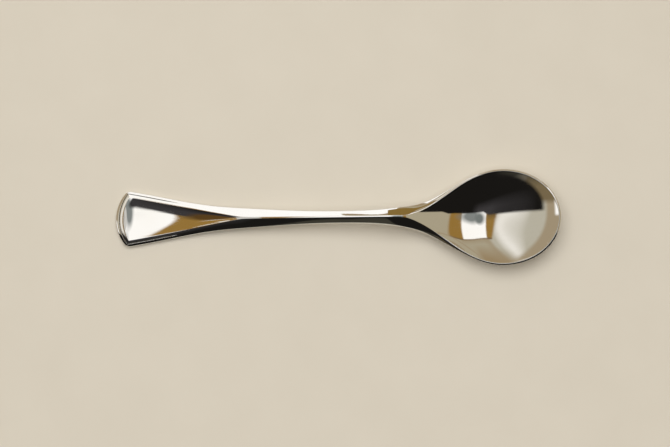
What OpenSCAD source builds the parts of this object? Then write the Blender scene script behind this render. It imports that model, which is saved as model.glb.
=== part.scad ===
// Egg spoon, lying face up on a table. All sizes are in millimetres.
// The real spoon is one forging. It is drawn as the three parts that a cutler names:
// the bowl, the stem and the handle, which meet face to face in two flat cuts.
// X runs along the spoon to the bowl's tip, Y across it and Z up.
// The origin lies on the table, under the middle of the spoon.

/* [Overall] */
// Length from the handle's end to the bowl's tip
length = 125; // [117:0.5:140]

/* [Handle outline] */
// Width of the handle, where its sides would reach the line through its end
handle_w = 16.9; // [14:0.1:19]
// Angle of each side to the axis at the end
flare_a = 8.75; // [5:0.25:12]
// Radius of the curved end, seen from above
end_r = 11.5; // [10:0.25:20]
// Softening of the two corners of the end
corner_r = 0.8; // [0.2:0.1:1.4]
// Width of the handle at the point of its panel
throat_w = 5.76; // [4.6:0.02:7]
// Angle of each side to the axis at the point of the panel
throat_a = 4; // [2:0.25:6]
// Radius of the outline's bend at the point of the panel
throat_r = 500; // [150:10:900]

/* [Handle panel] */
// Length of the scooped panel with its border, from the handle's end to its point
panel_l = 35.2; // [29:0.2:42]
// Width of the scooped panel at its wide end
panel_w = 12.6; // [10:0.1:13.6]
// Depth of the scoop at its wide end
panel_d = 0.6; // [0.2:0.05:0.8]
// Run over which the scoop falls from its end crest
scoop_run = 2.9; // [2:0.1:7]
// Width of the rounded border along the end
border_w = 2.1; // [1.4:0.1:2.8]
// Fall of the rounded border from its crest to the edge
border_h = 0.55; // [0.3:0.05:0.8]
// Depth of the fine thread line in the border
thread_d = 0.09; // [0.02:0.01:0.12]
// Length of the thread line along the sides
thread_l = 20; // [10:0.5:26]
// Thickness of the handle at its crest
handle_t = 1.75; // [1.4:0.05:2.4]

/* [Stem] */
// Width of the stem at its waist
stem_w = 3.4; // [2.8:0.1:4.2]
// Distance of the waist from the handle's end
waist_l = 62.5; // [54:0.5:68]
// Radius of the outline's bend at the waist
waist_r = 357; // [150:1:900]
// Thickness of the stem at its ridge
stem_t = 2.9; // [2.4:0.05:3.6]
// Fall of each flank from the ridge to the edge
flank_h = 0.9; // [0.6:0.05:1.2]
// Fall of each flank at the neck, where the ridge opens into the bowl
neck_h = 1.35; // [0.9:0.05:1.6]
// Height of the upright band along the stem's edges
band_h = 0.6; // [0.3:0.05:0.8]
// Width of the polished ridge line
ridge_w = 0.36; // [0.2:0.02:0.6]

/* [Bowl outline] */
// Width of the bowl
bowl_w = 27.14; // [23:0.02:31]
// Distance from the bowl's widest place to its tip
nose_l = 16.1; // [13.5:0.1:19]
// Distance of the neck station from the tip
neck_l = 43; // [41:0.5:46]
// Width at the neck station
neck_w = 6.04; // [5:0.02:7.4]
// Angle of each side to the axis at the neck station
neck_a = 10.1; // [7:0.1:13]
// Radius of the outline's bend at the neck station
neck_r = 51; // [36:1:120]
// Distance of the straightest place of the bowl's flank from the tip
side_l = 30; // [27.5:0.5:32.5]
// Width at that place
side_w = 17.2; // [15:0.1:19.4]
// Angle of each side to the axis at that place
side_a = 29.8; // [26:0.2:33]

/* [Bowl hollow] */
// Wall at the bottom of the bowl
wall_t = 1; // [0.7:0.05:1.5]
// Distance of the deepest place of the hollow from the tip
deep_l = 23.2; // [21:0.2:25]
// Radius of the floor's bend at its deepest place, seen from the side
floor_r = 13; // [11:0.5:20]
// Angle at which the floor climbs at the tip
tip_a = 27; // [22:0.5:32]
// Radius of the floor's bend at the tip, seen from the side
tip_r = 25; // [16:0.5:50]
// Length of the hollow, from its point at the neck to the tip
hollow_l = 44; // [42:0.5:46]
// Radius of the floor's bend at its point, seen from the side
heel_r = 10; // [8:0.5:16]
// Run over which the stem's flanks narrow to the rim
flank_run = 17; // [14:0.5:20]
// Width of the rounded rim, seen from above
rim_w = 0.5; // [0.4:0.05:0.8]
// Fall of the rim from its crest to the edge
rim_h = 0.25; // [0.15:0.05:0.4]
// Height of the upright band below the rim
rim_band_h = 0.2; // [0.1:0.05:0.4]

/* [Side view] */
// Angle at which the handle climbs from the table
pitch_a = 6.8; // [5.5:0.1:8.5]
// Length of the handle's flat underside, on which it rests
pad_l = 6; // [4:0.5:10]
// Run over which the handle bends up from its flat end
bend_run = 22; // [12:0.5:26]
// Radius of the stem's arch from there to the bowl
arch_r = 1500; // [900:50:4000]
// Distance from the tip at which the neck starts to bend down to the bowl
dive_l = 48.5; // [47:0.5:52]
// Radius of the neck's bend there
dive_r = 18; // [15:1:40]
// Distance of the rim's lowest place from the tip
sag_l = 33; // [31:0.5:35]
// Height of the rim there above the table
sag_z = 5; // [4.6:0.1:5.6]
// Radius of the rim's sag there, seen from the side
sag_r = 80; // [60:5:150]
// Height of the rim at the tip above the table
tip_z = 7.4; // [6.8:0.1:8.2]
// Angle at which the rim climbs at the tip
rim_a = 5; // [2:0.5:8]
// Rounding of the lower edges
under_r = 0.35; // [0.2:0.05:0.5]

/* [Hidden] */

// Places along the spoon, measured from the handle's end
point_s = length - hollow_l;
wide_s = length - nose_l;
neck_s = length - neck_l;
side_s = length - side_l;
deep_s = length - deep_l;
dive_s = length - dive_l;
sag_s = length - sag_l;
arch_s = pad_l + bend_run;

// Share of straight line in the rounded border and in the flatter flanks of the stem;
// the rest is a quarter ellipse
border_line = 0.45;
flank_line = 0.8;
// Softening of the crests where they part from the ridge
fork_soft = 0.25;
// Share of a parabola in the hollow's section; the rest steepens towards the rim
hollow_line = 0.97;

// Shares of the border's width at which it is drawn, from the edge in to the crest
BORDER = [1, 0.94, 0.8, 0.6, 0.53, 0.46, 0.2, 0];
// Share at which the thread line runs
THREAD = 0.53;
// Steps across the hollow, and along the panel, the stem, the neck, the heel, the middle and the nose
ACROSS = 12;
PANEL_STEPS = 17;
STEM_STEPS = 11;
DIVE_STEPS = 4;
HEEL_STEPS = 18;
MIDDLE_STEPS = 6;
NOSE_STEPS = 16;
// The last row of the nose stops this close to the tip, in degrees
NOSE_END = 88.6;

// Rules that every curve follows

// Smooth step from 0 to 1 with no jump in its bend
function step5(u) =
    let (v = min(1, max(0, u)))
    v * v * v * (10 - 15 * v + 6 * v * v);

// Smooth ramp: flat before 0, then bending up over the run to a slope of 1
function ramp(d, run) =
    let (u = min(1, max(0, d / run)))
    run * (u * u * u - u * u * u * u / 2) + max(0, d - run);

// Rounded corner: 0 well below 0, the value itself well above it
function soft(d, r) = (d + sqrt(d * d + r * r)) / 2;

// Straight mix of two values
function mix(a, b, u) = a + (b - a) * u;

// Curve between two stations [place, value, slope, bend], smooth in slope and bend
function between(a, b, s) =
    let (
        run = b[0] - a[0],
        u = (s - a[0]) / run,
        rise = b[1] - a[1],
        m0 = a[2] * run,
        m1 = b[2] * run,
        k0 = a[3] * run * run,
        k1 = b[3] * run * run,
        c3 = 10 * rise - 6 * m0 - 4 * m1 - 1.5 * k0 + 0.5 * k1,
        c4 = -15 * rise + 8 * m0 + 7 * m1 + 1.5 * k0 - k1,
        c5 = 6 * rise - 3 * m0 - 3 * m1 - 0.5 * k0 + 0.5 * k1
    )
    a[1] + u * (m0 + u * (k0 / 2 + u * (c3 + u * (c4 + u * c5))));

function along(stations, s, i = 0) =
    i + 2 >= len(stations) || s <= stations[i + 1][0]
        ? between(stations[i], stations[i + 1], s)
        : along(stations, s, i + 1);

// Outline, seen from above: half the width at each place

OUTLINE = [
    [0, handle_w / 2, -tan(flare_a), 0],
    [panel_l, throat_w / 2, -tan(throat_a), 1 / throat_r],
    [waist_l, stem_w / 2, 0, 1 / waist_r],
    [neck_s, neck_w / 2, tan(neck_a), 1 / neck_r],
    [side_s, side_w / 2, tan(side_a), 0],
    [wide_s, bowl_w / 2, 0, -bowl_w / 2 / (nose_l * nose_l)]
];

function half_w(s) =
    s <= wide_s
        ? along(OUTLINE, s)
        : bowl_w / 2 * sqrt(max(0, 1 - pow((s - wide_s) / nose_l, 2)));

// Crests: half the width of the ridge, which opens into the panel and into the bowl

// Width of the falling flank between the bowl's crest and its edge
function flank_w(s) =
    rim_w + soft((half_w(point_s) - rim_w) * (point_s + flank_run - s) / flank_run, fork_soft);

function panel_half(s) =
    soft(panel_w / 2 * (panel_l - s) / (panel_l - border_w), fork_soft);

function bowl_half(s) = soft(half_w(s) - ridge_w / 2 - flank_w(s), fork_soft);

function crest(s) = ridge_w / 2 + (s < waist_l ? panel_half(s) : bowl_half(s));

// Half the width of the hollow at the bowl's widest place
hollow_half = crest(wide_s);
// Place of the crest at the tip
crest_s = length - bowl_w / 2 + hollow_half;

// Side view: height of the crests above the table

function handle_z(s) =
    handle_t + tan(pitch_a) * ramp(s - pad_l, bend_run) - pow(max(0, s - arch_s), 2) / (2 * arch_r);

// Slope of the stem where the neck starts to bend down
dive_slope = tan(pitch_a) - (dive_s - arch_s) / arch_r;

RIM = [
    [dive_s, handle_z(dive_s), dive_slope, -1 / dive_r],
    [sag_s, sag_z, 0, 1 / sag_r],
    [length, tip_z, tan(rim_a), 0]
];

function crest_z(s) = s <= dive_s ? handle_z(s) : along(RIM, s);

// Slope of the crest where the hollow starts
point_slope = (crest_z(point_s + 0.01) - crest_z(point_s - 0.01)) / 0.02;

// Side view: the middle of the hollow's floor, and of the underside below it

FLOOR = [
    [point_s, crest_z(point_s), point_slope, -1 / heel_r],
    [deep_s, wall_t, 0, 1 / floor_r],
    [crest_s, crest_z(crest_s), tan(tip_a), 1 / tip_r]
];

UNDER = [
    [point_s, crest_z(point_s) - stem_t, point_slope, -1 / (dive_r + stem_t)],
    [deep_s, 0, 0, 1 / (floor_r + wall_t)],
    [length, tip_z - rim_h - rim_band_h - under_r, tan(tip_a), 1 / tip_r]
];

function depth(s) = s <= point_s ? 0 : max(0, crest_z(s) - along(FLOOR, s));

// Section: how far its surfaces lie below the crest

function to_stem(s) = step5((s - pad_l - bend_run / 4) / panel_l);

function to_neck(s) = step5((s - waist_l) / (point_s - waist_l));

function to_rim(s) = step5((s - point_s) / flank_run);

function fall(s) =
    mix(mix(mix(border_h, flank_h, to_stem(s)), neck_h, to_neck(s)), rim_h, to_rim(s));

function band(s) =
    mix(mix(handle_t - border_h - under_r, band_h, to_stem(s)), rim_band_h, to_rim(s));

// Rise across a hollow or belly, from 0 in the middle to 1 at the share t = 1 of its half width
function section(s, t) =
    let (k = mix(1, hollow_line, to_rim(s)))
    t * t * (k + (1 - k) * t * t);

// Depth of the panel's scoop under the crest: it stays deep until close to its point
function panel_dip(s, t) =
    let (
        k = panel_half(s) / (panel_w / 2),
        run = min(1, max(0, (s - border_w) / scoop_run))
    )
    panel_d * k * (2 - k) * (1 - section(s, t)) * (1 - pow(1 - run, 2));

// Depth of the hollow under the crest
function bowl_dip(s, t) = depth(s) * (1 - section(s, t));

// Thickness from the crest down to the middle of the underside
function thick(s) =
    s <= point_s ? mix(handle_t, stem_t, to_stem(s)) : crest_z(s) - along(UNDER, s);

// How far the underside bellies down between its lower edges
function belly(s) = max(0, thick(s) - fall(s) - band(s) - under_r);

// Fall of the border or flank at a share of its width, 0 at the crest and 1 at the edge
function border(s, v) =
    let (k = mix(mix(border_line, flank_line, to_stem(s)), border_line, to_rim(s)))
    k * v + (1 - k) * (1 - sqrt(max(0, 1 - v * v)));

// Thread line, which fades out along the sides
function thread(s, v) = v == THREAD ? thread_d * (1 - step5(2 * s / thread_l - 1)) : 0;

// Rows of the handle bow out towards its end, so that the border follows the curved end

function arc(y) = end_r - sqrt(max(0, end_r * end_r - y * y));

function bow(s, y) = s + arc(y) * pow(max(0, 1 - s / panel_l), 2);

// Place where the curved end meets the sides
end_s = arc(half_w(arc(half_w(arc(half_w(0))))));

// Outline with the two corners of the end softened
function cut_w(s) =
    half_w(s) - corner_r / 2 * pow(1 - min(1, max(0, (s - end_s) / corner_r)), 2);

function row_w(s) = cut_w(bow(s, cut_w(bow(s, cut_w(bow(s, cut_w(s)))))));

function row_crest(s) = crest(bow(s, crest(bow(s, crest(s)))));

// One row of points round the handle or the stem at place s:
// over the top from one edge to the other, then back under the spoon

function plain_row(s) =
    let (
        w = row_w(s),
        c = row_crest(s),
        z = crest_z(s),
        end_v = max(0, 1 - s / border_w),
        end_q = max(0, 1 - s / under_r),
        inner = w - under_r
    )
    concat(
        [for (v = BORDER) over_edge(s, -mix(c, w, v), z, v, end_v)],
        [for (i = [1 : ACROSS - 1]) scooped(s, c, 2 * i / ACROSS - 1, z, end_v)],
        [for (i = [len(BORDER) - 1 : -1 : 0]) over_edge(s, mix(c, w, BORDER[i]), z, BORDER[i], end_v)],
        [for (g = under_shares(inner / w)) under(s, g * w, w, z, end_q)]
    );

function over_edge(s, y, z, v, end_v) =
    [bow(s, y), y, z - fall(s) * border(s, max(v, end_v)) - thread(s, max(v, end_v))];

function scooped(s, c, t, z, end_v) =
    [
        bow(s, c * t),
        c * t,
        z - fall(s) * border(s, end_v) - thread(s, end_v)
            - (s < waist_l ? panel_dip(s, t) : bowl_dip(s, t))
    ];

// Shares of the half width at which the underside is drawn, from one edge to the other
function under_shares(inner) =
    let (n = 2 * len(BORDER) + ACROSS - 1 - 6)
    concat(
        [1, mix(inner, 1, 0.75)],
        [for (i = [0 : n + 1]) inner * (1 - 2 * i / (n + 1))],
        [-mix(inner, 1, 0.75), -1]
    );

function under(s, y, w, z, end_q) =
    let (
        side_q = max(0, 1 - (w - abs(y)) / under_r),
        q = min(1, max(side_q, end_q))
    )
    [
        bow(s, y),
        y,
        z - fall(s) - band(s) - under_r * sqrt(1 - q * q) - belly(s) * (1 - section(s, y / w))
    ];

// One row round the bowl's nose at angle a: its edge, its crest and its lower edge
// run round three ellipses with one centre, one inside the other

function nose_row(a) =
    let (
        w = bowl_w / 2 * cos(a),
        c = hollow_half * cos(a),
        x = wide_s + nose_l * sin(a),
        xc = wide_s + (crest_s - wide_s) * sin(a),
        xu = wide_s + (nose_l - under_r) * sin(a),
        inner = (bowl_w / 2 - under_r) * cos(a)
    )
    concat(
        [for (v = BORDER) rim_point(mix(xc, x, v), -mix(c, w, v), v)],
        [for (i = [1 : ACROSS - 1]) hollow_point(xc, c, 2 * i / ACROSS - 1)],
        [for (i = [len(BORDER) - 1 : -1 : 0]) rim_point(mix(xc, x, BORDER[i]), mix(c, w, BORDER[i]), BORDER[i])],
        [for (g = under_shares(inner / w)) nose_under(x, xu, g * w, w, inner)]
    );

function rim_point(x, y, v) = [x, y, crest_z(x) - rim_h * border(x, v)];

function hollow_point(x, c, t) = [x, c * t, crest_z(x) - bowl_dip(x, t)];

function nose_under(x, xu, y, w, inner) =
    let (
        q = min(1, max(0, (abs(y) - inner) / (w - inner))),
        xq = mix(xu, x, q),
        edge_w = half_w(xq)
    )
    [
        xq,
        y,
        crest_z(xq) - rim_h - rim_band_h - under_r * sqrt(1 - q * q)
            - belly(xq) * (1 - section(xq, min(1, abs(y) / edge_w)))
    ];

// Rows of each part, from the handle's end to the bowl's tip

HANDLE_ROWS = concat(
    [for (v = BORDER) plain_row(border_w * (1 - v))],
    [for (i = [1 : PANEL_STEPS]) plain_row(mix(border_w, panel_l, pow(i / PANEL_STEPS, 1.6)))]
);

STEM_ROWS = concat(
    [for (i = [0 : STEM_STEPS - 1]) plain_row(mix(panel_l, dive_s, i / STEM_STEPS))],
    [for (i = [0 : DIVE_STEPS]) plain_row(mix(dive_s, point_s, i / DIVE_STEPS))]
);

BOWL_ROWS = concat(
    [for (i = [0 : HEEL_STEPS - 1]) plain_row(mix(point_s, deep_s, i / HEEL_STEPS))],
    [for (i = [0 : MIDDLE_STEPS - 1]) plain_row(mix(deep_s, wide_s, i / MIDDLE_STEPS))],
    [for (i = [0 : NOSE_STEPS]) nose_row(NOSE_END * i / NOSE_STEPS)]
);

// Skin over a list of rows, closed at each end: "cut" is a flat face,
// "edge" joins the top to the underside, "tip" joins the left side to the right

function skin(rows) =
    let (n = len(rows[0]))
    [
        for (i = [0 : len(rows) - 2], j = [0 : n - 1])
            let (
                a = i * n + j,
                b = i * n + (j + 1) % n,
                c = b + n,
                d = a + n,
                left = j < n / 4 || j >= 3 * n / 4
            )
            each left ? [[a, b, c], [a, c, d]] : [[a, b, d], [b, c, d]]
    ];

function end_edge(n) =
    [
        for (j = [0 : n / 2 - 2])
            each [[j + 1, j, n - 1 - j], [j + 1, n - 1 - j, n - 2 - j]]
    ];

function tip_faces(first, n) =
    let (
        half = n / 2,
        top = (half - 1) / 2
    )
    [
        for (i = [top : top + half - 1])
            let (
                a = i,
                b = i + 1,
                c = (half - 1 - b + n) % n,
                d = (half - 1 - a + n) % n
            )
            each concat(
                b == c ? [] : [[first + a, first + b, first + c]],
                a == d ? [] : [[first + a, first + c, first + d]]
            )
    ];

module loft(rows, start, finish) {
    n = len(rows[0]);
    last = (len(rows) - 1) * n;
    start_faces = start == "edge" ? end_edge(n) : [[for (j = [n - 1 : -1 : 0]) j]];
    finish_faces = finish == "tip" ? tip_faces(last, n) : [[for (j = [0 : n - 1]) last + j]];
    translate([-length / 2, 0, 0])
        polyhedron(
            points = [for (row = rows, p = row) p],
            faces = concat(start_faces, skin(rows), finish_faces),
            convexity = 6
        );
}

module bowl() {
    color([0.84, 0.84, 0.82])
        loft(BOWL_ROWS, "cut", "tip");
}

module stem() {
    color([0.8, 0.8, 0.79])
        loft(STEM_ROWS, "cut", "cut");
}

module handle() {
    color([0.82, 0.82, 0.8])
        loft(HANDLE_ROWS, "edge", "cut");
}

bowl();
stem();
handle();
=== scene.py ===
# %% [markdown]
# An egg spoon, forged from one piece of silver-coloured metal and polished like a mirror.
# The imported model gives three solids, bowl, stem and handle, in metres. They are exact but
# drawn with few flat facets, and a mirror shows every facet. So this lesson draws the same
# curves again, finely, and lays one smooth skin over each solid.

# %% Load the frame
import math

import bpy
import bmesh
import numpy as np
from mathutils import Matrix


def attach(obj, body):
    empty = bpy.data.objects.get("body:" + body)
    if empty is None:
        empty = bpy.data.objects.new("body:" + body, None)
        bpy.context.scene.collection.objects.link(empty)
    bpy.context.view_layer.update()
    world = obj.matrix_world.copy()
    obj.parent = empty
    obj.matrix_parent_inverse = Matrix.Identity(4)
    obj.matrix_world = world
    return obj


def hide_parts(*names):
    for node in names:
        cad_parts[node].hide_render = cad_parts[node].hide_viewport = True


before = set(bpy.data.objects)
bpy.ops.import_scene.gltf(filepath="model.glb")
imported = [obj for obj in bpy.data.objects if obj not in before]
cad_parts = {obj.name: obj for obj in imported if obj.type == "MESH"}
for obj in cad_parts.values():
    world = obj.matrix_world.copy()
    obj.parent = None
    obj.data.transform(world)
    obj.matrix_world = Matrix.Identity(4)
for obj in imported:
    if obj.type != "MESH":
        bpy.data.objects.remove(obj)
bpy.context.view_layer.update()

# %% [markdown]
# The camera looks almost straight down on the spoon, from a little on the near side: the
# stem's near flank is seen less than its far one. A long lens from 0.6 m keeps the outline
# free of perspective, as a close-up of cutlery is usually taken.

# %% Camera
lean = math.radians(7)
aim = (-0.0007, -0.0011, 0.0)
far = 0.6
eye = bpy.data.cameras.new("camera")
eye.lens = 114
eye.sensor_width = 36
eye.clip_start = 0.01
camera = bpy.data.objects.new("camera", eye)
camera.location = (aim[0], aim[1] - far * math.sin(lean), aim[2] + far * math.cos(lean))
camera.rotation_euler = (lean, 0, 0)
bpy.context.scene.collection.objects.link(camera)
bpy.context.scene.camera = camera
bpy.context.scene.view_settings.view_transform = "Standard"
print("camera at", [round(x, 4) for x in camera.location])

# %% [markdown]
# Shading is written as sums. A Wire holds one output of a node, and adding or multiplying
# wires adds the Math nodes. Any other node comes from add(), which sets the node's own
# settings first and then fills its sockets with numbers, colours or wires.


# %% Wires for shader maths
class Wire:
    def __init__(self, tree, socket):
        self.tree, self.socket = tree, socket

    def maths(self, operation, first, second=None):
        sockets = {0: first} if second is None else {0: first, 1: second}
        return add(self.tree, "Math", {"operation": operation}, sockets)

    def __add__(self, other):
        return self.maths("ADD", self, other)

    def __radd__(self, other):
        return self.maths("ADD", other, self)

    def __sub__(self, other):
        return self.maths("SUBTRACT", self, other)

    def __rsub__(self, other):
        return self.maths("SUBTRACT", other, self)

    def __mul__(self, other):
        return self.maths("MULTIPLY", self, other)

    def __rmul__(self, other):
        return self.maths("MULTIPLY", other, self)

    def __truediv__(self, other):
        return self.maths("DIVIDE", self, other)

    def __pow__(self, other):
        return self.maths("POWER", self, other)


def add(tree, kind, settings=None, sockets=None, out=0):
    node = tree.nodes.new("ShaderNode" + kind)
    for name, value in (settings or {}).items():
        setattr(node, name, value)
    for name, value in (sockets or {}).items():
        socket = node.inputs[name]
        if isinstance(value, Wire):
            tree.links.new(value.socket, socket)
        else:
            if socket.type == "RGBA" and len(value) == 3:
                value = (*value, 1)
            socket.default_value = value
    return Wire(tree, node.outputs[out]) if node.outputs else None


def clamped(wire):
    return add(wire.tree, "Clamp", {}, {"Value": wire})


def over(wire, place, soft):
    """1 where the wire is over the place, 0 under it, with a soft edge this wide."""
    return clamped((wire - place) / soft + 0.5)


def blend(share, under, top):
    """The colour under, with the colour top laid over it by a share."""
    return add(share.tree, "Mix", {"data_type": "RGBA"}, {0: share, 6: under, 7: top}, 2)


def fresh(owner):
    owner.use_nodes = True
    owner.node_tree.nodes.clear()
    return owner.node_tree


print("shader helpers ready")

# %% [markdown]
# A mirror has hardly any colour of its own: it shows the studio. So the studio is designed
# like a product photographer's tent: a white card overhead in a golden frame, pale cloth to
# the left, and dark cloth on the near side that gives the metal its black. Real lamps and
# cards could stand there, but a painted sky has no noise. Each card is a patch of it, in
# degrees east and north of straight up. Two helpers give the patches their outlines: curve
# bends an upright edge on the far side, and slant leans a level one.

# %% Directions in the studio
world = bpy.data.worlds.new("studio")
bpy.context.scene.world = world
sky = fresh(world)
ray = add(sky, "TexCoord", {}, {}, "Generated")
ray_x, ray_y, ray_z = [add(sky, "SeparateXYZ", {}, {0: ray}, i) for i in range(3)]
down = ray_z.maths("ARCCOSINE", ray_z) * math.degrees(1)
flat = (ray_x * ray_x + ray_y * ray_y + 1e-6) ** 0.5
east, north = down * ray_x / flat, down * ray_y / flat
far_side = north.maths("MAXIMUM", north, 0.0)
near_side = north.maths("MAXIMUM", 0 - north, 0.0)
curve = far_side * far_side
slant = north - 0.37 * east - 0.001 * east * east


def between(wire, low, high, soft):
    """1 between two places and 0 elsewhere, with soft edges this wide."""
    return over(wire, low, soft) * (1 - over(wire, high, soft))


print("studio directions ready")

# %% [markdown]
# First the cloth: beige all round, a paler cone on the left with a bright fold in it, and
# tones of stone and sand on the far side. One even grey would be simpler, but a mirror in it
# looks like grey paint: it needs neighbours of different tones to show its curves.

# %% Pale cloth
WHITE, PALE, BRIGHT = (1.08, 1.07, 1.05), (0.50, 0.47, 0.385), (0.86, 0.83, 0.77)
BEIGE, STONE, SAND = (0.37, 0.30, 0.20), (0.42, 0.37, 0.265), (0.33, 0.245, 0.14)
DUSK = (0.19, 0.144, 0.078)

cone = over(east + 37 - 0.007 * curve, 0, 2.5) * (1 - over(east, -10, 4))
tent = blend(cone, BEIGE, PALE)
tent = blend(cone * between(east - 0.13 * far_side, -27, -22, 4), tent, BRIGHT)
tent = blend(over(east, -6, 10) * over(slant, 48, 8), tent, STONE)
tent = blend(between(east, -16, 22, 12) * over(slant, 60, 16), tent, SAND)
tent = blend(over(east, 37, 2), tent, STONE)
tent = blend((1 - over(north, -9, 6)) * (1 - over(east, -20, 8)), tent, DUSK)
tent = blend(between(north, -16, 6, 3) * between(east, -62, -44, 2), tent, WHITE)
print("cloth laid")

# %% [markdown]
# The white card hangs overhead in its golden frame, a little askew, so its far edge leans.
# The frame is brown on its far edge and darker on the left. A soft grey patch keeps the near
# edge of the white from looking cut out.

# %% White card in its golden frame
GOLD, BROWN, UMBER = (0.31, 0.18, 0.044), (0.17, 0.115, 0.06), (0.14, 0.09, 0.035)
MIST = (0.19, 0.21, 0.205)

frame_left = over(east - 0.006 * curve, -21.5, 1.5)
frame_right = over(east - 0.002 * curve, 36.8, 1.5)
card_left = over(east - 0.0035 * curve, -13, 1.5)
card_right = over(east - 0.0018 * curve, 27.3, 1.5)
gold = frame_left * (1 - frame_right) * over(north, -14, 4) * (1 - over(slant, 44, 1.5))
tent = blend(gold, tent, GOLD)
tent = blend(gold * over(slant, 42, 2), tent, BROWN)
tent = blend(gold * between(east, -24, -14, 3) * (1 - over(north, 6, 8)) * 0.7, tent, UMBER)
tent = blend(card_left * (1 - card_right) * (1 - over(slant, 42.5, 1.5)), tent, WHITE)
patch = ((east - 14) * (east - 14) + (north - 1) * (north - 1)) ** 0.5
tent = blend((1 - over(patch, 15, 11)) * 0.95, tent, MIST)
print("white card hung")

# %% [markdown]
# The dark cloth hangs on the near side, with a hem in steps and an end that curves away on
# the left. Black beside white is what makes metal look polished. Far down it gives way to
# pale cloth, so that the metal isn't all black from behind, and below the table's level the
# sky is plain. The camera itself sees a pale backdrop.

# %% Dark cloth on the near side
BLACK, SMOKE, OLIVE = (0.010, 0.009, 0.008), (0.045, 0.042, 0.044), (0.045, 0.042, 0.032)
BACKDROP = (0.83, 0.80, 0.74)

hem = 0 - 6 * over(east, -12, 7) - 2 * over(east, 30, 8) - 8 * over(east, 41, 5)
reach = near_side.maths("MAXIMUM", near_side - 4, 0.0)
cloth_end = over(east + 35 - 0.0135 * reach * reach, 0, 3)
tent = blend(1 - over(north, -34, 16), tent, OLIVE)
cloth = blend(over(north, -18, 14) * between(east, -24, 8, 14), BLACK, SMOKE)
tent = blend((1 - over(north - hem, 0, 3)) * cloth_end, tent, cloth)
tent = blend(1 - over(north, -69, 8), tent, PALE)
tent = blend(over(down, 95, 6), tent, PALE)
seen = add(sky, "LightPath", {}, {}, "Is Camera Ray")
light = add(sky, "Background", {}, {"Color": blend(seen, tent, BACKDROP)})
add(sky, "OutputWorld", {}, {"Surface": light})
print("studio has", len(sky.nodes), "nodes")

# %% [markdown]
# Small cards stand close to the spoon, as a photographer tucks them in. A patch of the sky is
# mirrored at every place that faces it, but a card that is near is mirrored in one place
# only. Each is a flat sheet that glows evenly, and its sizes are in millimetres. A soft edge
# fades it out like tracing paper. Only the mirror sees them.


# %% Reflectors
def reflector(name, corners, colour, soft_edge=0.0):
    mesh = bpy.data.meshes.new(name)
    mesh.from_pydata([[0.001 * x for x in corner] for corner in corners], [], [range(len(corners))])
    paint = bpy.data.materials.new(name)
    tree = fresh(paint)
    glow = add(tree, "Emission", {}, {"Color": colour})
    if soft_edge:
        place = add(tree, "TexCoord", {}, {}, "Generated")
        x, y = [2 * add(tree, "SeparateXYZ", {}, {0: place}, i) - 1 for i in range(2)]
        outside = over((x * x + y * y) ** 0.5, 1 - soft_edge / 2, soft_edge)
        glow = add(tree, "MixShader", {}, {0: outside, 1: glow, 2: add(tree, "BsdfTransparent")})
    add(tree, "OutputMaterial", {}, {"Surface": glow})
    mesh.materials.append(paint)
    board = bpy.data.objects.new(name, mesh)
    bpy.context.scene.collection.objects.link(board)
    board.visible_camera = board.visible_diffuse = board.visible_shadow = False
    print(name, "stands at", corners[0])


# %% [markdown]
# Upright cards stand beside the spoon: white ones along the far side of handle and stem, a
# gold chip by the neck and a dark one by the near corner of the handle. Level ones hang over
# it: gold and white for the panel, a pale one for the ridge, a brown and a grey disc that
# shade the gold and the white, and a beige strip that keeps the far rim from glaring.


# %% Shapes of the cards
def upright(y, left, right, low, high):
    return [(left, y, low), (right, y, low), (right, y, high), (left, y, high)]


def level(height, *corners):
    return [(x, y, height) for x, y in corners]


def arc_line(middle_x, middle_y, half_l, half_w, first, step, count):
    """Points on an oval, from the angle first on in steps."""
    angles = [math.radians(first + step * k) for k in range(count)]
    return [(middle_x + half_l * math.cos(a), middle_y + half_w * math.sin(a)) for a in angles]


def oval(*sizes):
    return arc_line(*sizes, 0, 15, 24)


# %% Upright cards
CHIP_GOLD = (0.24, 0.15, 0.04)
reflector("white_reflector", upright(60, -92, -8, 6, 82), WHITE)
reflector("low_reflector", upright(60, -8, 22, 6, 36), WHITE)
reflector("gold_chip", upright(11, 13, 25.6, 10, 18), CHIP_GOLD)
reflector("dark_card", [(-86, -8, 2), (-70, -46, 2), (-70, -46, 50), (-86, -8, 50)], BLACK)

# %% Level cards
SILVER_GREY, COCOA = (0.62, 0.61, 0.58), (0.10, 0.052, 0.014)
panel_tab = [(-51, 12.5), (-41.5, 12), (-41.5, 22), (-60, 22), (-56, 15)]
rim_inside = arc_line(46.4, 0, 17.4, 14.2, 42, 7, 11)
rim_outside = arc_line(46.4, 0, 21.4, 18.2, 42, 7, 11)
reflector("gold_flag", level(100, (-74, 28), (-77, 70), (-90, 70), (-90, 28)), GOLD)
reflector("white_flag", level(101, (-73, 60), (-76, 84), (-40, 84), (-40, 54)), WHITE)
reflector("gold_tab", level(40, *panel_tab), GOLD)
reflector("pale_flag", level(40, (-41, -2), (-31, -2), (-31, 14), (-41, 14)), SILVER_GREY)
reflector("grey_disc", level(60, *oval(38.5, 6.5, 11, 13.5)), MIST, 0.5)
reflector("brown_disc", level(20, *oval(-41.5, 0.9, 7, 4.4)), COCOA, 0.4)
reflector("beige_strip", level(10, *rim_inside, *rim_outside[::-1]), BEIGE)

# %% [markdown]
# One wide soft lamp hangs almost overhead, a little to the far side, so the shadow is short
# and soft. A small lamp would be cheaper, but its shadow would have an edge. The metal
# doesn't show the lamp, because the white card already stands there.

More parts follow.
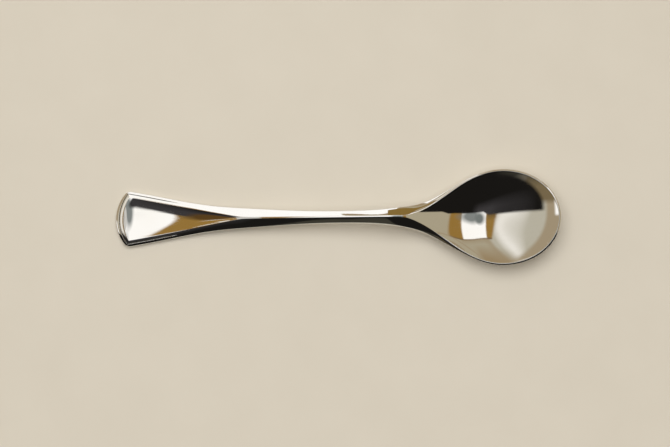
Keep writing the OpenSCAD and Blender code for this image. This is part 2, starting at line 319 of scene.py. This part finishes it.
# %% Soft lamp
lamp_light = bpy.data.lights.new("soft_lamp", "AREA")
lamp_light.shape = "DISK"
lamp_light.size = 1.2
lamp_light.energy = 9
lamp = bpy.data.objects.new("soft_lamp", lamp_light)
lamp.location = (-0.05, 0.12, 1.0)
lamp.rotation_euler = (math.radians(-7), math.radians(-3), 0)
lamp.visible_glossy = False
bpy.context.scene.collection.objects.link(lamp)
print("lamp", lamp_light.energy, "W")

# %% [markdown]
# The table is a plain pale board. A disc is enough, with a faint mottle so that it doesn't
# look like paint. It lies a hair below the spoon, so that no two faces share one place.

# %% Table
table_r, table_gap = 1.5, 0.00003
disc = bmesh.new()
bmesh.ops.create_circle(disc, cap_ends=True, segments=96, radius=table_r)
table_mesh = bpy.data.meshes.new("table")
disc.to_mesh(table_mesh)
disc.free()
table = bpy.data.objects.new("table", table_mesh)
table.location = (0, 0, -table_gap)
bpy.context.scene.collection.objects.link(table)

board = bpy.data.materials.new("pale_board")
wood = fresh(board)
place = add(wood, "TexCoord", {}, {}, "Object")
mottle = add(wood, "TexNoise", {}, {"Vector": place, "Scale": 60.0, "Detail": 4.0})
tint = blend(mottle, (0.66, 0.61, 0.52), (0.70, 0.65, 0.56))
finish = {"Base Color": tint, "Roughness": 0.85, "Specular IOR Level": 0.2}
dull = add(wood, "BsdfPrincipled", {}, finish)
add(wood, "OutputMaterial", {}, {"Surface": dull})
table_mesh.materials.append(board)
print("table of radius", table_r, "m")

# %% [markdown]
# Now the spoon. Its curves are the cutler's: an outline seen from above, a line of crests
# seen from the side, and sections across. The sizes are the solid's own, in millimetres,
# and s is the distance from the handle's end.

# %% Sizes
length, handle_w, flare_a, end_r, corner_r = 125, 16.9, 8.75, 11.5, 0.8
throat_w, throat_a, throat_r = 5.76, 4, 500
panel_l, panel_w, panel_d, scoop_run = 35.2, 12.6, 0.6, 2.9
border_w, border_h, thread_d, thread_l, handle_t = 2.1, 0.55, 0.09, 20, 1.75
stem_w, waist_l, waist_r, stem_t = 3.4, 62.5, 357, 2.9
flank_h, neck_h, band_h, ridge_w = 0.9, 1.35, 0.6, 0.36
bowl_w, nose_l, neck_l, neck_w, neck_a, neck_r = 27.14, 16.1, 43, 6.04, 10.1, 51
side_l, side_w, side_a = 30, 17.2, 29.8
wall_t, deep_l, floor_r, tip_a, tip_r = 1, 23.2, 13, 27, 25
hollow_l, heel_r, flank_run, rim_w, rim_h, rim_band_h = 44, 10, 17, 0.5, 0.25, 0.2
pitch_a, pad_l, bend_run, arch_r, under_r = 6.8, 6, 22, 1500, 0.35
dive_l, dive_r, sag_l, sag_z, sag_r, tip_z, rim_a = 48.5, 18, 33, 5, 80, 7.4, 5
border_line, flank_line, fork_soft, hollow_line = 0.45, 0.8, 0.25, 0.97
thread_at, thread_half, mitre, crest_r, tip_t = 0.53, 0.07, 8, 0.2, 0.15
point_s, wide_s, neck_s = length - hollow_l, length - nose_l, length - neck_l
side_s, deep_s, dive_s, sag_s = length - side_l, length - deep_l, length - dive_l, length - sag_l
arch_s = pad_l + bend_run
print("hollow starts at", point_s, "and is widest at", wide_s)

# %% [markdown]
# A mirror shows a jump in slope as a crease and a jump in bend as a kink, so each curve is
# built from pieces that agree in value, slope and bend where they meet.


# %% Rules for the curves
def tan(degrees):
    return math.tan(math.radians(degrees))


def step5(u):
    u = np.clip(u, 0, 1)
    return u**3 * (10 - 15 * u + 6 * u * u)


def ramp(d, run):
    u = np.clip(d / run, 0, 1)
    return run * (u**3 - u**4 / 2) + np.maximum(0, d - run)


def soft(d, r):
    return (d + np.sqrt(d * d + r * r)) / 2


def mix(a, b, u):
    return a + (b - a) * u


def along(stations, s):
    """Value at s of a curve through stations of (place, value, slope, bend)."""
    s = np.asarray(s, float)
    value = np.zeros_like(s)
    for i, (a, b) in enumerate(zip(stations, stations[1:])):
        run, rise = b[0] - a[0], b[1] - a[1]
        u = (s - a[0]) / run
        m0, m1, k0, k1 = a[2] * run, b[2] * run, a[3] * run**2, b[3] * run**2
        c3 = 10 * rise - 6 * m0 - 4 * m1 - 1.5 * k0 + 0.5 * k1
        c4 = -15 * rise + 8 * m0 + 7 * m1 + 1.5 * k0 - k1
        c5 = 6 * rise - 3 * m0 - 3 * m1 - 0.5 * k0 + 0.5 * k1
        piece = a[1] + u * (m0 + u * (k0 / 2 + u * (c3 + u * (c4 + u * c5))))
        value = piece if i == 0 else np.where(s > a[0], piece, value)
    return value


print("the handle's bend lifts it by", round(tan(pitch_a) * float(ramp(bend_run, bend_run)), 2), "mm")

# %% [markdown]
# Seen from above, the outline narrows from the flared handle to the stem's waist and swells
# into the bowl, which ends in half an ellipse. Inside it run the two crests: they frame the
# panel, close to the one ridge of the stem, and open again into the rim of the bowl.

# %% Outline and crests
OUTLINE = [
    (0, handle_w / 2, -tan(flare_a), 0),
    (panel_l, throat_w / 2, -tan(throat_a), 1 / throat_r),
    (waist_l, stem_w / 2, 0, 1 / waist_r),
    (neck_s, neck_w / 2, tan(neck_a), 1 / neck_r),
    (side_s, side_w / 2, tan(side_a), 0),
    (wide_s, bowl_w / 2, 0, -bowl_w / 2 / nose_l**2),
]


def half_w(s):
    nose = bowl_w / 2 * np.sqrt(np.maximum(0, 1 - ((s - wide_s) / nose_l) ** 2))
    return np.where(np.asarray(s) <= wide_s, along(OUTLINE, s), nose)


def panel_half(s):
    return soft(panel_w / 2 * (panel_l - s) / (panel_l - border_w), fork_soft)


def crest(s):
    s = np.asarray(s, float)
    narrowing = (half_w(point_s) - rim_w) * (point_s + flank_run - s) / flank_run
    bowl_half = soft(half_w(s) - ridge_w / 2 - rim_w - soft(narrowing, fork_soft), fork_soft)
    return ridge_w / 2 + np.where(s < waist_l, panel_half(s), bowl_half)


hollow_half = float(crest(wide_s))
crest_s = length - bowl_w / 2 + hollow_half
print("hollow is", round(2 * hollow_half, 2), "mm wide")


# %% [markdown]
# Seen from the side, the handle lies flat for a few millimetres, bends up and climbs to the
# heel of the bowl. From there the rim sags and rises to the tip, while the floor dives
# steeply at the heel and climbs gently to the tip.

# %% Side view
def handle_z(s):
    arch = np.maximum(0, s - arch_s) ** 2 / (2 * arch_r)
    return handle_t + tan(pitch_a) * ramp(s - pad_l, bend_run) - arch


RIM = [
    (dive_s, float(handle_z(dive_s)), tan(pitch_a) - (dive_s - arch_s) / arch_r, -1 / dive_r),
    (sag_s, sag_z, 0, 1 / sag_r),
    (length, tip_z, tan(rim_a), 0),
]


def crest_z(s):
    return np.where(np.asarray(s) <= dive_s, handle_z(s), along(RIM, s))


start_z = float(crest_z(point_s))
start_lean = float(crest_z(point_s + 0.01) - crest_z(point_s - 0.01)) / 0.02
FLOOR = [
    (point_s, start_z, start_lean, -1 / heel_r),
    (deep_s, wall_t, 0, 1 / floor_r),
    (crest_s, float(crest_z(crest_s)), tan(tip_a), 1 / tip_r),
]
UNDER = [
    (point_s, start_z - stem_t, start_lean, -1 / (dive_r + stem_t)),
    (deep_s, 0, 0, 1 / (floor_r + wall_t)),
    (length, tip_z - rim_h - rim_band_h - under_r, tan(tip_a), 1 / tip_r),
]


def depth(s):
    return np.where(np.asarray(s) <= point_s, 0, np.maximum(0, crest_z(s) - along(FLOOR, s)))


print("crest peaks at", round(float(crest_z(np.linspace(70, 90, 200)).max()), 2), "mm")


# %% [markdown]
# Across the spoon, each section has a hollow between the crests, a rounded border falling to
# the edge, an upright band and an underside that bellies down. One set of rules gives all of
# them, and the shares slide from handle to stem to rim.

# %% Sections
def to_stem(s):
    return step5((s - pad_l - bend_run / 4) / panel_l)


def to_rim(s):
    return step5((s - point_s) / flank_run)


def to_neck(s):
    return step5((s - waist_l) / (point_s - waist_l))


def fall(s):
    return mix(mix(mix(border_h, flank_h, to_stem(s)), neck_h, to_neck(s)), rim_h, to_rim(s))


def band(s):
    return mix(mix(handle_t - border_h - under_r, band_h, to_stem(s)), rim_band_h, to_rim(s))


def section(s, t):
    k = mix(1, hollow_line, to_rim(s))
    return t * t * (k + (1 - k) * t * t)


def dip_depth(s):
    """Depth of the panel's scoop or of the hollow in the middle."""
    k = panel_half(s) / (panel_w / 2)
    run = np.clip((s - border_w) / scoop_run, 0, 1)
    return np.where(s < waist_l, panel_d * k * (2 - k) * (1 - (1 - run) ** 2), depth(s))


def belly(s):
    thick = np.where(s <= point_s, mix(handle_t, stem_t, to_stem(s)), crest_z(s) - along(UNDER, s))
    return np.maximum(0, thick - fall(s) - band(s) - under_r)


def straight(s):
    return mix(mix(border_line, flank_line, to_stem(s)), border_line, to_rim(s))


def border(s, v):
    v = np.minimum(v, 1)
    return straight(s) * v + (1 - straight(s)) * (1 - np.sqrt(np.maximum(0, 1 - v * v)))


def groove(s, v):
    """Share of the thread line's depth, rounded across and fading along the sides."""
    across = 0.5 + 0.5 * np.cos(np.pi * np.clip((v - thread_at) / thread_half, -1, 1))
    return across * (1 - step5(2 * s / thread_l - 1))


def rounded(d, lean_in, lean_out):
    """How much polishing takes off a crest at the distance d from it."""
    m = lean_in + lean_out
    k = crest_r * m * m / 2
    return (np.sqrt((m * d) ** 2 + k * k) - np.abs(m * d)) / 2


print("stem's flank falls", round(float(fall(60.0)), 2), "mm")

# %% [markdown]
# The skin is a grid of rows across the spoon. Each row has the same number of points: dense
# at the edges, at the thread line and at the crests, sparser where the metal is calm. The
# underside uses the same places, directly below.

# %% Places of the points
SHARES = np.concatenate([
    np.sin(np.radians(np.linspace(90, 39, 10))),
    np.linspace(0.6, 0.46, 9),
    [0.4, 0.33, 0.26, 0.2, 0.15, 0.1, 0.06, 0.03, 0.012, 0],
])
HALF = np.array([
    0.996, 0.99, 0.98, 0.965, 0.94, 0.9, 0.85, 0.79, 0.72,
    0.65, 0.57, 0.49, 0.41, 0.33, 0.25, 0.165, 0.08,
])
ACROSS = np.concatenate([-HALF, [0], HALF[::-1]])
B, M = len(SHARES), 2 * len(SHARES) + len(ACROSS)
share = np.concatenate([SHARES, np.zeros(len(ACROSS)), SHARES[::-1]])[None]
side = np.concatenate([-np.ones(B), np.ones(len(ACROSS)), np.ones(B)])[None]
inside = np.concatenate([np.ones(B), ACROSS, np.ones(B)])[None]
print(M, "points over the top of each row")


# %% [markdown]
# Rows of the handle bow out towards its curved end, so that the border follows the end as it
# follows the sides. At the two corners the borders meet in a tight rounded mitre.

# %% Rows of handle, stem and heel
def arc(y):
    return end_r - np.sqrt(np.maximum(0, end_r**2 - y * y))


def bow(s, y):
    return s + arc(y) * np.maximum(0, 1 - s / panel_l) ** 2


end_s = 0.0
for _ in range(3):
    end_s = float(arc(half_w(end_s)))


def cut_w(s):
    return half_w(s) - corner_r / 2 * (1 - np.clip((s - end_s) / corner_r, 0, 1)) ** 2


def plain_rows(s):
    s = np.asarray(s, float)[:, None]
    w, c = cut_w(s), crest(s)
    for _ in range(3):
        w, c = cut_w(bow(s, w)), crest(bow(s, c))
    y = np.where(inside**2 < 1, c * inside, side * mix(c, w, share))
    end_v = np.maximum(0, 1 - s / border_w)
    v = np.minimum(1, (share**mitre + end_v**mitre) ** (1 / mitre))
    lean_in = dip_depth(s) * 2 / c
    lean_out = fall(s) * straight(s) / (w - c)
    hollow = np.where(inside**2 < 1, dip_depth(s) * (1 - section(s, inside)), 0)
    top = crest_z(s) - fall(s) * border(s, v) - thread_d * groove(s, v) - hollow
    top = top - rounded(np.abs(y) - c, lean_in, lean_out) * (1 - end_v)
    q = np.maximum(np.maximum(0, 1 - (w - np.abs(y)) / under_r), np.maximum(0, 1 - s / under_r))
    low = crest_z(s) - fall(s) - band(s) - under_r * np.sqrt(1 - np.minimum(1, q) ** 2)
    low = np.maximum(0, low - belly(s) * (1 - section(s, y / w)))
    return bow(s, y), y, top, low, groove(s, v)


print("end of the handle meets its sides at", round(end_s, 2), "mm")


# %% [markdown]
# Round the nose the rows swing like a fan, so that the rim keeps its width all the way to
# the tip.

# %% Rows of the nose
def nose_rows(angles):
    a = np.radians(np.asarray(angles, float))[:, None]
    w, c = bowl_w / 2 * np.cos(a), hollow_half * np.cos(a)
    x_edge, x_crest = wide_s + nose_l * np.sin(a), wide_s + (crest_s - wide_s) * np.sin(a)
    hollow = inside**2 < 1
    x = np.where(hollow, x_crest, mix(x_crest, x_edge, share))
    y = np.where(hollow, c * inside, side * mix(c, w, share))
    reach = np.sqrt(np.sin(a) ** 2 + (inside * np.cos(a)) ** 2)
    rim = bowl_w / 2 - hollow_half
    short = (reach - 1) * np.hypot(x - wide_s, y) / np.maximum(reach, 0.01)
    d = np.where(hollow, short, share * rim)
    steep = depth(wide_s) * 2 / hollow_half
    lean_in = np.hypot(steep * np.cos(a), (tan(tip_a) - tan(rim_a)) * np.sin(a))
    lean_out = rim_h * border_line / rim
    bottom = depth(x) * (1 - section(x, inside))
    top = crest_z(x) - np.where(hollow, bottom, rim_h * border(x, share))
    top = top - rounded(d, lean_in, lean_out)
    q = np.where(hollow, 0, np.maximum(0, 1 - (1 - share) * rim / under_r))
    low = crest_z(x) - rim_h - rim_band_h - under_r * np.sqrt(1 - q * q)
    out = np.minimum(1, np.abs(y) / np.maximum(1e-6, half_w(x)))
    low = low - belly(x) * (1 - section(x, out))
    low = np.minimum(low, top - tip_t)
    return x, y, top, low, np.zeros_like(x)


# %% [markdown]
# All rows together make one closed skin over the whole spoon. The soft normals are taken
# from it before it is cut, so that no seam shows in the mirror where two pieces meet.

# %% One skin over the spoon
def steps(count):
    return np.arange(1, count + 1) / count


HANDLE = np.concatenate([border_w * (1 - SHARES), mix(border_w, panel_l, steps(90) ** 1.25)])
STEM = mix(panel_l, point_s, steps(70))
HEEL = mix(point_s, wide_s, steps(90))
last_angle = 88.6
both = zip(plain_rows(np.concatenate([HANDLE, STEM, HEEL])), nose_rows(last_angle * steps(60)))
grids = [np.concatenate(pair) for pair in both]
gx, gy, g_top, g_low, g_line = grids
rows, n = gx.shape[0], 2 * M
ring_x = np.concatenate([gx, gx[:, ::-1]], 1) - length / 2
ring_y = np.concatenate([gy, gy[:, ::-1]], 1)
ring_z = np.concatenate([g_top, g_low[:, ::-1]], 1)
points = np.stack([ring_x, ring_y, ring_z], -1).reshape(-1, 3) * 0.001
line_mark = np.concatenate([g_line, np.zeros_like(g_line)], 1).ravel()


def strip(first, last):
    """Faces between the rows first and last."""
    r, j = np.meshgrid(np.arange(first, last), np.arange(n), indexing="ij")
    a, b = r * n + j, r * n + (j + 1) % n
    return np.stack([a, a + n, b + n, b], -1).reshape(-1, 4).tolist()


def end_faces():
    """The handle's end: the top's edge joined to the lower edge."""
    return [[j, j + 1, n - 2 - j, n - 1 - j] for j in range(M - 1)]


def tip_faces():
    """The bowl's tip: the left side joined to the right."""
    first, faces = (rows - 1) * n, []
    for base in (0, M):
        for a in range(M // 2):
            b, c, d = a + 1, M - 2 - a, M - 1 - a
            faces.append([first + base + k for k in ([a, b, d] if b == c else [a, b, c, d])])
    faces.append([first, first + M - 1, first + M, first + n - 1])
    return faces


whole = bpy.data.meshes.new("whole")
whole.from_pydata(points.tolist(), [], strip(0, rows - 1) + end_faces() + tip_faces())
shell = bmesh.new()
shell.from_mesh(whole)
bmesh.ops.recalc_face_normals(shell, faces=shell.faces)
loose = sum(1 for edge in shell.edges if len(edge.link_faces) != 2)
shell.to_mesh(whole)
shell.free()
whole.update()
normals = np.zeros(len(points) * 3, np.float32)
whole.vertex_normals.foreach_get("vector", normals)
normals = normals.reshape(-1, 3)
whole_faces = [tuple(face.vertices) for face in whole.polygons]
print(len(points), "points,", len(whole_faces), "faces, open edges:", loose)

# %% [markdown]
# Polished silver. The metal is pale and a little warm, and it owes its life to small faults:
# hairlines from polishing along the handle, finer swirls from stirring in the bowl and faint
# smears. The thread line's groove is painted near-black: painted shade in the recess.

# %% Polished metal
metal = bpy.data.materials.new("polished_silver")
steel = fresh(metal)
spot = add(steel, "TexCoord", {}, {}, "Object")


def noise(vector, scale, detail, **others):
    return add(steel, "TexNoise", {}, {"Vector": vector, "Scale": scale, "Detail": detail, **others})


def stretched(scale, turn=0.0):
    turned = (0.0, 0.0, turn)
    return add(steel, "Mapping", {}, {"Vector": spot, "Rotation": turned, "Scale": scale})


hairlines = noise(stretched((60.0, 2600.0, 2600.0)), 1.0, 3.0, Roughness=0.7)
rub = noise(stretched((90.0, 3000.0, 900.0), 0.9), 1.0, 2.0, Distortion=0.6)
smear = noise(spot, 130.0, 4.0, Roughness=0.6, Distortion=0.4)
cloud = noise(spot, 45.0, 2.0)
line = add(steel, "Attribute", {"attribute_name": "thread_line"}, {}, "Fac")

fine = over(hairlines, 0.64, 0.1) * 0.5 + over(rub, 0.66, 0.08) * 0.5
smears = over(smear, 0.6, 0.3)
warm = over(cloud, 0.55, 0.4)
tone = blend(warm, (0.93, 0.92, 0.90), (0.90, 0.875, 0.83))
tone = blend(fine * 0.12, tone, (0.72, 0.70, 0.66))
# Painted shade: the thread line's groove is painted near-black in the base colour.
tone = blend(clamped(line * 1.6) * 0.95, tone, (0.06, 0.055, 0.05))
gloss = 0.035 + 0.05 * smears + 0.07 * fine + 0.18 * line
scratch = add(steel, "Bump", {}, {"Strength": 0.05, "Distance": 0.00002, "Height": fine})
look = {"Base Color": tone, "Metallic": 1.0, "Roughness": gloss, "Normal": scratch}
silver = add(steel, "BsdfPrincipled", {}, look)
add(steel, "OutputMaterial", {}, {"Surface": silver})
print("metal has", len(steel.nodes), "nodes")

# %% [markdown]
# Last, the skin is cut into the three pieces at the solid's own two cuts. Each piece gets a
# flat cap at its cut, so that it is a closed form by itself, and stands for its solid.


# %% The three pieces
def piece(name, first, last):
    keep = [f for f in whole_faces if first * n <= min(f) and max(f) < (last + 1) * n]
    caps = [list(range(first * n, (first + 1) * n))[::-1]] if first else []
    caps += [list(range(last * n, (last + 1) * n))] if last < rows - 1 else []
    used = np.arange(first * n, (last + 1) * n)
    mesh = bpy.data.meshes.new("smooth_" + name)
    shifted = [[k - first * n for k in f] for f in list(keep) + caps]
    mesh.from_pydata(points[used].tolist(), [], shifted)
    mesh.polygons.foreach_set("use_smooth", [True] * len(mesh.polygons))
    # The thread line's share marks the groove, where the metal gets its painted shade and more
    # roughness.
    mark = mesh.attributes.new("thread_line", "FLOAT", "POINT")
    mark.data.foreach_set("value", line_mark[used].astype(np.float32))
    mesh.normals_split_custom_set_from_vertices(normals[used].tolist())
    mesh.materials.append(metal)
    made = bpy.data.objects.new("smooth_" + name, mesh)
    bpy.context.scene.collection.objects.link(made)
    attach(made, "root")
    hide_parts(name)
    print(made.name, len(mesh.polygons), "faces")


cut_1, cut_2 = len(HANDLE) - 1, len(HANDLE) + len(STEM) - 1
piece("handle", 0, cut_1)
piece("stem", cut_1, cut_2)
piece("bowl", cut_2, rows - 1)
